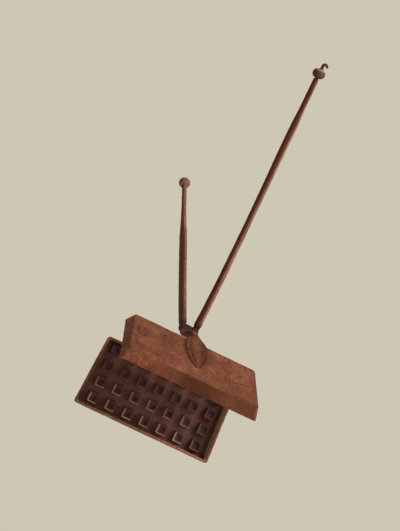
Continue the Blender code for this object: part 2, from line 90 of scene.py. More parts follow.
def meltShells(bm, voxel):
    # overlapping closed shells become one skin of even faces
    rough = meshObject(bm, "rough")
    melt = rough.modifiers.new("melt", "REMESH")
    melt.mode = "VOXEL"
    melt.voxel_size = voxel
    skin = bmesh.new()
    skin.from_object(rough, bpy.context.evaluated_depsgraph_get())
    bpy.data.objects.remove(rough)
    return skin


def softenSkin(bm, rounds, factor=0.4):
    for _ in range(rounds):
        bmesh.ops.smooth_vert(
            bm, verts=bm.verts, factor=factor, use_axis_x=True, use_axis_y=True, use_axis_z=True
        )


def pointTree(places):
    tree = kdtree.KDTree(len(places))
    for index, place in enumerate(places):
        tree.insert(place, index)
    tree.balance()
    return tree


def edgeTree(bm, degrees, sign=1, spacing=0.001):
    # points along every edge that stands out, or with sign -1 every crease, to measure from
    places = []
    for edge in bm.edges:
        if len(edge.link_faces) == 2 and sign * edge.calc_face_angle_signed(0) > math.radians(degrees):
            start, end = (vert.co for vert in edge.verts)
            steps = max(1, round((end - start).length / spacing))
            places += [start.lerp(end, step / steps) for step in range(steps + 1)]
    return pointTree(places)


def falloff(distance, reach):
    return math.exp(-((distance / reach) ** 2))


def smoothStep(low, high, value):
    share = min(max((value - low) / (high - low), 0), 1)
    return share * share * (3 - 2 * share)


def ramp(settings, value):
    # settings: where it starts, where it is full, how strong
    low, high, strength = settings
    return strength * smoothStep(low, high, value)


def spot(settings, value):
    # settings: where its middle is, how far it reaches, how strong
    middle, reach, strength = settings
    return strength * falloff(value - middle, reach)


def roughen(bm, finish, seed, calm=None):
    # lumps, grain and rust pits, pushed along the normals
    shift = Vector((3.7, 1.9, 2.3)) * seed
    bm.normal_update()
    for vert in bm.verts:
        place = vert.co
        lump = noise.noise(place / finish["lumpSize"] + shift)
        grain = noise.fractal(place / finish["grainSize"] - shift, 1, 2, 3)
        pit = max(0, noise.noise(place / finish["pitSize"] + 2 * shift) - finish["pitStart"])
        push = finish["lump"] * lump + finish["grain"] * grain - finish["pit"] * pit
        if calm:
            push *= calm(place)
        vert.co = place + vert.normal * push


def finishPiece(bm, name, half, material, nodes, marks=None):
    # marks are the masks that the material reads, a value for each vertex
    piece = meshObject(bm, name)
    for layerName, values in (marks or {}).items():
        layer = piece.data.attributes.new(layerName, "FLOAT", "POINT")
        layer.data.foreach_set("value", values)
    piece.data.transform(halves[half])
    piece.data.shade_smooth()
    piece.data.materials.append(materials[material])
    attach(piece, bodies[half])
    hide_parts(*nodes)
    print(piece.name, "has", len(piece.data.polygons), "faces")


# Shader nodes
def feed(tree, socket, value):
    if isinstance(value, bpy.types.NodeSocket):
        tree.links.new(value, socket)
    else:
        socket.default_value = value


def addNode(tree, kind, inputs, **settings):
    node = tree.nodes.new(kind)
    for key, value in settings.items():
        setattr(node, key, value)
    for key, value in inputs.items():
        feed(tree, node.inputs[key], value)
    return node


def mixColors(tree, factor, first, second):
    return addNode(tree, "ShaderNodeMix", {0: factor, 6: first, 7: second}, data_type="RGBA").outputs[2]


def doMath(tree, operation, *values, clamp=False):
    inputs = dict(enumerate(values))
    return addNode(tree, "ShaderNodeMath", inputs, operation=operation, use_clamp=clamp).outputs[0]


def remap(tree, value, low, high, newLow=0.0, newHigh=1.0):
    inputs = {"Value": value, "From Min": low, "From Max": high, "To Min": newLow, "To Max": newHigh}
    return addNode(tree, "ShaderNodeMapRange", inputs, interpolation_type="SMOOTHSTEP").outputs[0]


paletteNames = ("Dark", "Middle", "Light", "Tint", "Worn_And_Lit", "Grime")
rust = {
    # noises: scale, detail, roughness, distortion
    "patches": (26, 3, 0.5, 0),
    "tinted": (17, 4, 0.55, 0),
    "mottle": (120, 6, 0.66, 0.7),
    "specks": (520, 4, 0.7, 0),
    "flecks": (200, 3, 0.6, 0),
    "scales": (150, 3, 0.6, 1.6),
    "dots": (260, 2, 0.5, 0),
    "pitScale": 420,
    # where each starts and is full, then its least and its most
    "pits": (0.30, 0.05),
    "pitPlaces": (0.42, 0.62),
    "middle": (0.3, 0.62),
    "darkFlecks": (0.44, 0.34, 0, 0.5),
    "lightFlecks": (0.57, 0.66, 0, 0.6),
    "lightSpots": (0.55, 0.85),
    "tint": (0.5, 0.66, 0, 0.7),
    "bloomScales": (0.42, 0.58, 0.2, 0.95),
    "bloomDots": (0.56, 0.64, 0, 0.6),
    "wear": (0.35, 0.95),
    "wearStart": (0.0, 0.3),
    "grime": (0.1, 0.9),
    "grimeStart": (0.0, 0.2),
    # shares
    "patchShare": 0.45,
    "speckShare": 0.5,
    "pitDark": 0.7,
    "brokenWear": 0.9,
    "brokenGrime": 0.6,
    "bumps": (0.5, 0.35, 0.6),      # of the mottle, the specks and the pits
    "roughness": (0.62, 0.3, 0.16),  # least, what specks add, what wear takes off
    "metal": 0.35,
}


def rustGroup():
    # rusted iron: patches, mottling, specks and pits, bright rubbed edges and dark dirt; the same two
    # masks also carry painted highlights and painted shade
    group = bpy.data.node_groups.new("rustedIron", "ShaderNodeTree")
    face = group.interface
    face.new_socket("Vector", in_out="INPUT", socket_type="NodeSocketVector")
    for name in paletteNames:
        face.new_socket(name, in_out="INPUT", socket_type="NodeSocketColor")
    # the wear and grime masks hold rubbed edges and dirt, and painted highlights and painted shade too
    for name in ("Wear Mask", "Grime Mask", "Bloom Mask", "Contrast", "Scale"):
        face.new_socket(name, in_out="INPUT", socket_type="NodeSocketFloat")
    face.new_socket("Color", in_out="OUTPUT", socket_type="NodeSocketColor")
    for name in ("Roughness", "Metallic", "Height"):
        face.new_socket(name, in_out="OUTPUT", socket_type="NodeSocketFloat")
    given = group.nodes.new("NodeGroupInput").outputs
    result = group.nodes.new("NodeGroupOutput").inputs

    def noiseOf(name):
        scale, detail, rough, distortion = rust[name]
        inputs = {"Vector": given["Vector"], "Scale": times(given["Scale"], scale), "Detail": detail}
        inputs.update({"Roughness": rough, "Distortion": distortion})
        return addNode(group, "ShaderNodeTexNoise", inputs).outputs["Fac"]

    def times(first, second):
        return doMath(group, "MULTIPLY", first, second)

    def plusNoise(value, field, strength):
        # breaks a value up with a noise, as much up as down
        return doMath(group, "ADD", value, times(doMath(group, "SUBTRACT", field, 0.5), strength))

    def within(name, value):
        return remap(group, value, *rust[name])

    mottle = noiseOf("mottle")
    specks = noiseOf("specks")
    flecks = noiseOf("flecks")
    pitInputs = {"Vector": given["Vector"], "Scale": rust["pitScale"], "Randomness": 1}
    pitField = addNode(group, "ShaderNodeTexVoronoi", pitInputs).outputs["Distance"]
    pits = times(within("pits", pitField), within("pitPlaces", mottle))

    patches = times(noiseOf("patches"), rust["patchShare"])
    blend = doMath(group, "ADD", patches, times(mottle, 1 - rust["patchShare"]))
    spread = doMath(group, "MULTIPLY_ADD", doMath(group, "SUBTRACT", blend, 0.5), given["Contrast"], 0.5)
    bloomed = given["Bloom Mask"]
    wear = within("wear", plusNoise(given["Wear Mask"], mottle, rust["brokenWear"]))
    wear = times(wear, within("wearStart", given["Wear Mask"]))
    grime = within("grime", plusNoise(given["Grime Mask"], mottle, rust["brokenGrime"]))
    grime = times(grime, within("grimeStart", given["Grime Mask"]))

    body = given["Dark"]
    for factor, color in (
        (within("middle", spread), "Middle"),
        (within("darkFlecks", flecks), "Dark"),
        (within("lightFlecks", flecks), "Light"),
        (within("lightSpots", plusNoise(spread, specks, rust["speckShare"])), "Light"),
        (within("tint", noiseOf("tinted")), "Tint"),
        (times(bloomed, within("bloomScales", noiseOf("scales"))), "Grime"),
        (times(bloomed, within("bloomDots", noiseOf("dots"))), "Worn_And_Lit"),
        (times(pits, rust["pitDark"]), "Grime"),
        (wear, "Worn_And_Lit"),
        (grime, "Grime"),
    ):
        body = mixColors(group, factor, body, given[color])

    ofMottle, ofSpecks, ofPits = rust["bumps"]
    height = doMath(group, "MULTIPLY_ADD", mottle, ofMottle, times(specks, ofSpecks))
    height = doMath(group, "SUBTRACT", height, times(pits, ofPits))
    least, fromSpecks, offWorn = rust["roughness"]
    rough = doMath(group, "MULTIPLY_ADD", specks, fromSpecks, least)
    rough = doMath(group, "SUBTRACT", rough, times(wear, offWorn), clamp=True)
    feed(group, result["Color"], body)
    feed(group, result["Roughness"], rough)
    feed(group, result["Metallic"], times(wear, rust["metal"]))
    feed(group, result["Height"], height)
    return group


def shade(red, green, blue):
    # an sRGB colour, 0 to 255, as the linear one that the nodes take
    def linear(value):
        value /= 255
        return value / 12.92 if value < 0.04045 else ((value + 0.055) / 1.055) ** 2.4

    return (linear(red), linear(green), linear(blue), 1)


rustedIron = rustGroup()


def ironMaterial(name, look):
    material = bpy.data.materials.new(name)
    material.use_nodes = True
    tree = material.node_tree
    shader = tree.nodes["Principled BSDF"]
    mapping = addNode(
        tree,
        "ShaderNodeMapping",
        {
            "Vector": addNode(tree, "ShaderNodeTexCoord", {}).outputs["Object"],
            "Rotation": look.get("turn", (0, 0, 0)),
            "Scale": look.get("stretch", (1, 1, 1)),
        },
    )
    group = addNode(tree, "ShaderNodeGroup", {}, node_tree=rustedIron)
    feed(tree, group.inputs["Vector"], mapping.outputs["Vector"])
    feed(tree, group.inputs["Contrast"], look["contrast"])
    feed(tree, group.inputs["Scale"], look["scale"])
    # the wear mask also carries painted highlights, the grime mask painted shade
    for layer in ("wear", "grime", "bloom"):
        mask = addNode(tree, "ShaderNodeAttribute", {}, attribute_name=layer)
        feed(tree, group.inputs[layer.title() + " Mask"], mask.outputs["Fac"])
    # the tone mask changes a piece from its first palette to its second
    tone = addNode(tree, "ShaderNodeAttribute", {}, attribute_name="tone").outputs["Fac"]
    for key in paletteNames:
        color = shade(*look["palette"][key.lower()])
        if "second" in look:
            color = mixColors(tree, tone, color, shade(*look["second"][key.lower()]))
        feed(tree, group.inputs[key], color)
    feed(tree, shader.inputs["Base Color"], group.outputs["Color"])
    feed(tree, shader.inputs["Roughness"], group.outputs["Roughness"])
    feed(tree, shader.inputs["Metallic"], group.outputs["Metallic"])
    shader.inputs["Specular IOR Level"].default_value = look["gloss"]
    bumps = {"Height": group.outputs["Height"], "Strength": look["bump"], "Distance": 0.0006}
    feed(tree, shader.inputs["Normal"], addNode(tree, "ShaderNodeBump", bumps).outputs["Normal"])
    return material


# Colours as a picture shows them, 0 to 255
# in each palette the worn colour is also used for painted highlights, the grime colour for painted shade
palettes = {
    "panOutside": {
        "dark": (98, 51, 33), "middle": (129, 76, 52), "light": (154, 101, 74),
        "tint": (108, 70, 40), "worn_and_lit": (172, 116, 88), "grime": (66, 30, 18),
    },
    "panInside": {
        "dark": (98, 63, 55), "middle": (110, 73, 64), "light": (122, 84, 75),
        "tint": (108, 64, 51), "worn_and_lit": (176, 146, 132), "grime": (58, 37, 34),
    },
    "leaf": {
        "dark": (92, 50, 33), "middle": (114, 67, 47), "light": (132, 84, 62),
        "tint": (100, 58, 36), "worn_and_lit": (156, 106, 82), "grime": (70, 32, 20),
    },
    "bar": {
        "dark": (114, 72, 54), "middle": (148, 101, 80), "light": (174, 130, 106),
        "tint": (122, 82, 58), "worn_and_lit": (186, 140, 116), "grime": (58, 33, 32),
    },
    "rivet": {
        "dark": (58, 36, 38), "middle": (78, 50, 52), "light": (104, 72, 70),
        "tint": (64, 40, 46), "worn_and_lit": (130, 96, 88), "grime": (44, 26, 34),
    },
    "hookedKnob": {
        "dark": (72, 40, 30), "middle": (104, 62, 48), "light": (134, 96, 78),
        "tint": (94, 42, 32), "worn_and_lit": (168, 138, 116), "grime": (54, 38, 28),
    },
    "plainKnob": {
        "dark": (102, 64, 50), "middle": (138, 97, 78), "light": (162, 124, 102),
        "tint": (118, 70, 54), "worn_and_lit": (184, 150, 130), "grime": (60, 38, 28),
    },
    "hook": {
        "dark": (50, 28, 18), "middle": (68, 38, 26), "light": (92, 56, 40),
        "tint": (56, 34, 22), "worn_and_lit": (120, 80, 60), "grime": (30, 20, 16),
    },
}
castLook = {
    "palette": palettes["panOutside"], "second": palettes["panInside"],
    "contrast": 1.6, "scale": 1.4, "gloss": 0.16, "bump": 0.6,
}
# the second palette, the leaf's, is also the painted shade down one side of the bars
forgedLook = {
    "palette": palettes["bar"], "second": palettes["leaf"],
    "contrast": 1.3, "scale": 1.2, "gloss": 0.14, "bump": 0.5, "stretch": (1, 1, 0.4),
}
rivetLook = {"palette": palettes["rivet"], "contrast": 1.2, "scale": 2, "gloss": 0.2, "bump": 0.5}
flushLook = {**rivetLook, "palette": palettes["leaf"], "second": palettes["panInside"]}
knobLook = {"palette": palettes["hookedKnob"], "contrast": 1.2, "scale": 1.8, "gloss": 0.25, "bump": 0.4}
hookLook = {"palette": palettes["hook"], "contrast": 1.2, "scale": 2, "gloss": 0.35, "bump": 0.4}
materials = {
    "pan": ironMaterial("castIron", castLook),
    "rearArm": ironMaterial("forgedIron", forgedLook),
    "frontArm": ironMaterial("forgedIronSwung", {**forgedLook, "turn": (-closedTurn, 0, 0)}),
    "rivet": ironMaterial("rivetIron", rivetLook),
    "flush": ironMaterial("flushRivetIron", flushLook),
    "hookedKnob": ironMaterial("knobIron", knobLook),
    "plainKnob": ironMaterial("knobIronPale", {**knobLook, "palette": palettes["plainKnob"]}),
    "hook": ironMaterial("blackWire", hookLook),
}
print("materials made")


# Pans. Left and right are a pan's own, with its squares' side towards the reader.
pan = {
    "start": 0.0605,            # from the hinge down to the near rim
    "length": 0.2350,
    "taper": 0.0128,            # how much shorter the near rim is
    "width": 0.1150,
    "depth": 0.0205,
    "corner": 0.0045,
    "endSlope": 0.0065,
    "sideSlope": 0.0080,
    "chamfer": 0.0010,
    "parting": 0.00015,         # rim to parting plane
    "rim": 0.0045,
    "lean": 0.0016,             # of the inner wall
    "floor": 0.0074,            # thickness under the studs
    "voxel": 0.0010,
    "sharp": 25,                # degrees: edges sharper than this are lightened
    "edgeReach": 0.0014,
    "wallMiddle": 0.6,          # inside starts here, between the outer and the inner wall
    "floorPlay": 0.0008,
    "rimDeep": 0.06,            # the rim's face ends here, as a share of the depth inside
    # inside
    "wearInside": 0.25,
    "onFloor": (0.6, 0.9),
    "shadeUp": (0.030, 0.095, 0.6),     # painted shade, up from the far rim: starts, is full, strength
    "floorLight": 0.8,                  # how far the floor is spared it
    "shadeRight": (0.03, 0.10, 0.62),   # painted shade, the same along the pan
    # painted shade on the stud tops towards the right
    "studsRight": (0.045, 0.085, 0.9),
    "wallPaintedLight": (0.0030, 0.0012, 1.0),  # painted light on the right wall, in from the rim
    # rim: lighter on some sides, part rubbing and part painted highlight; painted shade on its outer edge
    # and along the near rim
    "rimWearAndHighlight": {"far": 0.65, "near": 0.05, "left": 0.3, "right": 0.45},
    "rimEdgeShade": (0.0013, 0, 0.9),
    "nearRimShade": 0.5,
    # back: lighter edges on some sides, part rubbing and part painted highlight; painted shade on other
    # edges, on the far slope and crest, and round the leaf
    "outsideWearAndHighlight": {"far": 0.5, "near": 0.0, "left": 0.0, "right": 0.6},
    "edgeShade": {"far": 0, "near": 0.9, "left": 0.9, "right": 0},
    "onSlope": (0.0002, 0.0010),
    "slopeShade": (-0.012, 0.072, 0.61),  # along the far slope: middle, reach, strength
    "crestShade": (-0.085, 0.045, 0.5),   # the same beside the far crest
    "crestBand": (0.026, 0.010),
    "crestWearAndHighlight": (-0.01, 0.04),           # along the far crest: its light edge starts, is full
    "seamShade": (0, 0.0014, 0.2),             # painted shade round the leaf
    "leafShadow": (0, 0.016, 0.4),             # and the leaf's painted shadow on the pan beside it
    "leafShadowSide": (0.004, 0.012),
    "bloomRing": (0.75, 0.3, 1),          # in radii of a bloom
    "bloomMiddle": (1, 0.5, 0.5),
}
stud = {
    "columns": 7,
    "rows": 4,
    "length": 0.01807,
    "width": 0.017925,
    "columnPitch": 0.02987,
    "rowPitch": 0.026825,
    "firstRow": -0.0767125,
    "height": 0.0085,
    "lean": 0.0014,
    "land": 0.0027,
    "dishFloor": 0.0035,
    "dish": 0.0030,
    "sink": 0.0020,
    "uneven": 0.00025,
    "highlight": (0.0, 0.45, 0.72, 0.95),  # painted highlight on the lands at the left and below, row by row
    "highlightDeep": (0.6, 0.45),
    "highlightWidth": (0.0040, 0.0024),
    "topShade": (0.9, 0.7, 0.5, 0.5),       # painted shade on the rest of the top
    "dishShade": (0.42, 0.54, 0.7),          # and painted shade in its dish
    "studShadow": (0.4, 0.7, 0.2),            # and a painted shadow on the floor beside it
    "studShadowReach": 0.0035,
}
castFinish = {
    "lumpSize": 0.022, "lump": 0.00022,
    "grainSize": 0.0042, "grain": 0.00010,
    "pitSize": 0.0065, "pitStart": 0.25, "pit": 0.0009,
}
# Rings of scaly rust on the back: along the pan, down from the near rim, radius, strength
rustBlooms = [
    (0.0893, 0.0479, 0.0120, 1.0),
    (0.0452, 0.0377, 0.0140, 0.9),
    (0.0498, 0.0860, 0.0150, 0.4),
    (-0.0691, 0.0418, 0.0140, 0.45),
    (-0.0400, 0.0700, 0.0140, 0.35),
]
panBack = pan["parting"] + pan["depth"]
panFloor = panBack - pan["floor"]
panMiddle = -(pan["start"] + pan["width"] / 2)


def stepOut(bm, face, outX, outZ, y):
    # the next loop of the pan's outline: outwards by different amounts along and across
    grown = bmesh.ops.extrude_face_region(bm, geom=[face])["geom"]
    for vert in [part for part in grown if isinstance(part, bmesh.types.BMVert)]:
        vert.co.x += outX * math.copysign(1, vert.co.x)
        vert.co.z += outZ * math.copysign(1, vert.co.z - panMiddle)
        vert.co.y = y
    if any(len(edge.link_faces) > 2 for edge in face.edges):
        bmesh.ops.delete(bm, geom=[face], context="FACES_ONLY")
    return next(part for part in grown if isinstance(part, bmesh.types.BMFace))


def uneven():
    return random.uniform(-stud["uneven"], stud["uneven"])


def addStud(bm, x, z):
    tall = stud["height"] + stud["sink"]
    place = Vector((x + uneven(), panFloor + stud["sink"] - tall / 2, z + uneven()))
    size = Matrix.Diagonal((stud["length"], tall, stud["width"], 1))
    block = bmesh.ops.create_cube(bm, size=1, matrix=Matrix.Translation(place) @ size)["verts"]
    faces = {face for vert in block for face in vert.link_faces}
    top = min(faces, key=lambda face: face.calc_center_median().y)
    bmesh.ops.scale(
        bm,
        vec=(1 - 2 * stud["lean"] / stud["length"], 1, 1 - 2 * stud["lean"] / stud["width"]),
        space=Matrix.Translation(-place),
        verts=top.verts,
    )
    bmesh.ops.inset_individual(bm, faces=[top], thickness=stud["land"], depth=0)
    across = stud["width"] - 2 * stud["lean"] - 2 * stud["land"] - stud["dishFloor"]
    bmesh.ops.inset_individual(bm, faces=[top], thickness=across / 2, depth=-stud["dish"] + 2 * uneven())


def panBlock():
    # the back's outline, stepped out to the rim and in again to the floor, with its studs
    bm = bmesh.new()
    bmesh.ops.create_grid(bm, x_segments=1, y_segments=1, size=1)
    endIn = pan["endSlope"] + pan["chamfer"]
    sideIn = pan["sideSlope"] + pan["chamfer"]
    for vert in bm.verts:
        near = vert.co.y > 0
        halfLength = (pan["length"] - (pan["taper"] if near else 0)) / 2 - endIn
        halfWidth = pan["width"] / 2 - sideIn
        x = math.copysign(halfLength, vert.co.x)
        vert.co = (x, panBack, panMiddle + (halfWidth if near else -halfWidth))
    bmesh.ops.bevel(
        bm, geom=bm.verts[:], offset=pan["corner"], affect="VERTICES", segments=4, profile=0.5, material=-1
    )
    face = stepOut(bm, bm.faces[:][0], pan["chamfer"], pan["chamfer"], panBack - pan["chamfer"])
    face = stepOut(bm, face, pan["endSlope"], pan["sideSlope"], pan["parting"])
    face = stepOut(bm, face, -pan["rim"], -pan["rim"], pan["parting"])
    stepOut(bm, face, -pan["lean"], -pan["lean"], panFloor)
    for column in range(stud["columns"]):
        for row in range(stud["rows"]):
            x = (column - (stud["columns"] - 1) / 2) * stud["columnPitch"]
            addStud(bm, x, stud["firstRow"] - row * stud["rowPitch"])
    bmesh.ops.recalc_face_normals(bm, faces=bm.faces)
    return bm


def studMarks(place, deep):
    # painted highlights on a stud's left and lower lands, painted shade on the rest of it and a painted
    # shadow on the floor beside it
    column = round(place.x / stud["columnPitch"])
    row = min(max(round((stud["firstRow"] - place.z) / stud["rowPitch"]), 0), stud["rows"] - 1)
    fromLeft = place.x - column * stud["columnPitch"] + stud["length"] / 2
    fromFoot = place.z - stud["firstRow"] + row * stud["rowPitch"] + stud["width"] / 2
    nearest = min(fromLeft, fromFoot)
    highlight = smoothStep(*stud["highlightDeep"], deep) * smoothStep(*stud["highlightWidth"], nearest)
    highlight *= stud["highlight"][row]
    if fromLeft > stud["length"] or fromFoot > stud["width"]:
        return highlight, 0
    if nearest > stud["lean"]:
        return highlight, max(stud["topShade"][row] * (1 - highlight), ramp(stud["dishShade"], deep))
    return highlight, ramp(stud["studShadow"], deep) * smoothStep(-stud["studShadowReach"], 0, nearest)


def insideMarks(place, side, inward, fromFar, deep, edge):
    highlight, topShade = studMarks(place, deep)
    onFloor = smoothStep(*pan["onFloor"], deep)
    # painted shade up from the far rim, towards the right, and on the stud tops there
    shaded = max(
        ramp(pan["shadeUp"], fromFar) * (1 - pan["floorLight"] * onFloor),
        ramp(pan["shadeRight"], place.x),
        ramp(pan["studsRight"], place.x) * (1 - onFloor) * (1 - highlight),
    )
    # painted light on the right wall, which the lamps leave in shadow
    wallLight = ramp(pan["wallPaintedLight"], inward - pan["rim"]) if side == "right" else 0
    return max(edge * pan["wearInside"], highlight, wallLight), max(topShade, shaded) * (1 - wallLight)


def backMarks(place, side, fromFar, edge, leafAway, rightwards):
    # painted shade on the far slope and beside its crest
    shaded = 0
    if side == "far":
        onSlope = spot(pan["slopeShade"], place.x) * smoothStep(*pan["onSlope"], panBack - place.y)
        byCrest = spot(pan["crestShade"], place.x) * smoothStep(*pan["crestBand"], fromFar)
        shaded = max(onSlope, byCrest)
        if place.y > panBack - pan["depth"] / 2:
            edge *= smoothStep(*pan["crestWearAndHighlight"], place.x)
    # the leaf's painted shadow on the pan to its right, and painted shade round the leaf and along some
    # edges
    leafShadow = spot(pan["leafShadow"], leafAway) * smoothStep(*pan["leafShadowSide"], rightwards)
    grime = max(shaded, leafShadow, spot(pan["seamShade"], leafAway), pan["edgeShade"][side] * edge)
    return edge * pan["outsideWearAndHighlight"][side], grime


def bloomMark(place, fromNear):
    spread = 0
    for x, down, radius, strength in rustBlooms:
        away = math.hypot(place.x - x, fromNear - down) / radius
        spread = max(spread, strength * max(spot(pan["bloomRing"], away), ramp(pan["bloomMiddle"], away)))
    return spread


def makePan(name, half, node, seed, leafTree):
    random.seed(seed)
    bm = panBlock()
    edges = edgeTree(bm, pan["sharp"])
    bm = meltShells(bm, pan["voxel"])
    softenSkin(bm, 2)
    roughen(bm, castFinish, seed)

    marks = {"wear": [], "grime": [], "tone": [], "bloom": []}
    for vert in bm.verts:
        place = vert.co
        place.y = max(place.y, pan["parting"])
        # where the point is: how deep inside, how far in from the rim's outline, nearest which side
        deep = (place.y - pan["parting"]) / (panFloor - pan["parting"])
        fromNear = -pan["start"] - place.z
        fromFar = pan["width"] - fromNear
        halfLength = (pan["length"] - pan["taper"] * (1 - fromNear / pan["width"])) / 2
        inward = min(fromNear, fromFar, halfLength - abs(place.x))
        end = "left" if place.x < 0 else "right"
        side = "far" if inward == fromFar else "near" if inward == fromNear else end
        # inside starts in the middle of the wall
        slope = pan["endSlope"] if side == end else pan["sideSlope"]
        outerWall = slope * (place.y - pan["parting"]) / pan["depth"]
        innerWall = pan["rim"] + pan["lean"] * min(deep, 1)
        pastWall = inward > outerWall + (innerWall - outerWall) * pan["wallMiddle"]
        onRim = deep < pan["rimDeep"] and inward < pan["rim"]
        inside = pastWall and place.y < panFloor + pan["floorPlay"] and not onRim

        edge = falloff(edges.find(place)[2], pan["edgeReach"])
        bloom = 0
        if inside:
            wear, grime = insideMarks(place, side, inward, fromFar, deep, edge)
        elif deep > pan["rimDeep"]:
            leafAway = leafTree.find_nearest(place)[3]
            wear, grime = backMarks(place, side, fromFar, edge, leafAway, halves[half][0][0] * place.x)
            bloom = bloomMark(place, fromNear)
        else:
            # lighter by side, part rubbing and part painted highlight; painted shade at the outer edge and
            # along the near rim
            wear = pan["rimWearAndHighlight"][side]
            grime = max(ramp(pan["rimEdgeShade"], inward), pan["nearRimShade"] * (side == "near"))
        for layer, value in zip(marks.values(), (wear, grime, float(inside), bloom)):
            layer.append(value)
    finishPiece(bm, name, half, "pan", [node], marks)


# Arms: a dense copy of each forging, melted into one skin and hammered
arm = {
    "voxel": 0.0008,
    "sharp": 30,                # degrees: edges sharper than this are lightened
    "creased": 10,
    "leafTop": -0.0555,         # down the half's own Z
    "leafBlend": 0.004,
    "leafLength": 0.0815,
    "leafInner": 0.02095,
    "leafEdge": 0.0030,
    "leafThin": 0.35,           # the edge's thickness, as a share of the forging's
    "leafThinFrom": 0.003,      # below the leaf's top
    "leafThinReach": (-0.0005, 0.0035),
    "leafSink": 0.0002,
    "plugRadius": 0.0039,
    "neck": (-0.006, -0.014),
    "barFrom": 0.05,
    "smoothEye": (0.008, 0.016),  # from the hinge: hammer marks start, are full
    # rubbed edges, and painted highlights
    "wearReach": 0.0012,
    "barWear": 0.30,
    "neckWearAndHighlight": 0.85,
    # painted highlight on the leaf's raised middle
    "ridgeHighlight": 0.5,
    "teardrop": 0.0068,           # from the leaf's edge in to the raised middle
    "ridge": (0, 0.003),
    "ridgeAlong": (0.75, 0.2),
    "neckHighlight": (0.0050, 0.0013, 0.8),  # a painted highlight down the neck: where, reach, strength
    "neckHighlightFacing": (0.3, 0.7),
    # painted shade, and darker along the creases
    "valleyShade": (0, 0.0016, 0.2),      # painted shade round the raised middle
    "valleyShadeFacing": (0.3, -0.2),
    "crease": (0, 0.0013, 0.2),
    # painted shade round the hinge, down the neck, at the leaf's low edge and on its right side
    "hingeShade": (0.030, 0.006, 0.9),
    "neckShade": 0.6,
    "leafRim": (0.0026, 0.0008, 0.15),
    "leafShade": (0.002, 0.010, 0.68),
    "darkSide": {"rear": (0.0016, 0.0002), "front": (0.0004, -0.0010)},  # painted shade across the bar
    "darkSideShade": {"rear": 0.6, "front": 0.56},
    "darkTop": {"rear": (0.24, 0.35, 0), "front": (0.24, 0.35, 0.0030)},  # the painted shade narrows up the bar
}
forgedFinish = {
    "lumpSize": 0.014, "lump": 0.00024,
    "grainSize": 0.0035, "grain": 0.00007,
    "pitSize": 0.0055, "pitStart": 0.28, "pit": 0.0006,
}


def leafOutline(bm):
    # points round the leaf's outer edge, laid flat
    places = []
    for edge in bm.edges:
        if all(
            vert.co.z < arm["leafTop"] and abs(vert.co.y - arm["leafInner"] - arm["leafEdge"]) < 0.0003
            for vert in edge.verts
        ):
            places += [edge.verts[0].co.lerp(edge.verts[1].co, step / 8) for step in range(9)]
    return pointTree([(place.x, 0, place.z) for place in places])


def plugLeaf(bm, half):
    # closes the rivet holes of the leaf
    for node in leafRivets[half]:
        low, high = nodeBox(node, half)
        middle = (low + high) / 2
        place = Matrix.Translation((middle.x, (arm["leafInner"] + high.y) / 2, middle.z))
        bmesh.ops.create_cone(
            bm, cap_ends=True, segments=24, radius1=arm["plugRadius"], radius2=arm["plugRadius"],
            depth=high.y - arm["leafInner"], matrix=place @ Matrix.Rotation(math.pi / 2, 4, "X"),
        )


def thinLeaf(bm, outline):
    # the leaf is drawn out thin towards its edge, and lies on the pan
    for vert in bm.verts:
        if vert.co.z < arm["leafTop"] - arm["leafThinFrom"]:
            away = outline.find((vert.co.x, 0, vert.co.z))[2]
            thin = arm["leafThin"] + (1 - arm["leafThin"]) * smoothStep(*arm["leafThinReach"], away)
            above = vert.co.y - arm["leafInner"]
            vert.co.y = arm["leafInner"] - arm["leafSink"] + above * thin


